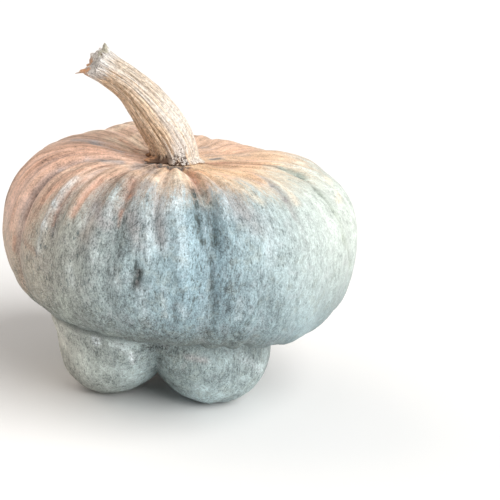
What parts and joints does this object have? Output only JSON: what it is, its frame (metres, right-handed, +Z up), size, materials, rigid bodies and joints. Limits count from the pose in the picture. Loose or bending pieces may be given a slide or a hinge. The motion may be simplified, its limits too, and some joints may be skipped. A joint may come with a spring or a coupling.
{
  "type": "cappello del prete squash",
  "caption": "Whole ribbed winter squash: a wide round cap over a smaller lobed turban that it rests on, with a dry curved stem.",
  "frame": {"origin": "on the resting plane, under the middle of the fruit's box", "axes": "+Z up out of the stem's seat, -Y to the front of the fruit, the stem's tip leans towards -X"},
  "size_m": [0.2396, 0.2391, 0.2333],
  "materials": {
    "rind": "waxy matte rind, grey-blue bloom over salmon pink, finely streaked and speckled",
    "stem_cork": "dry ridged cork, tan and cream, with fine cracks along it"
  },
  "bodies": {
    "root": {"fruit": "rind", "stem": "stem_cork"}
  },
  "joints": []
}
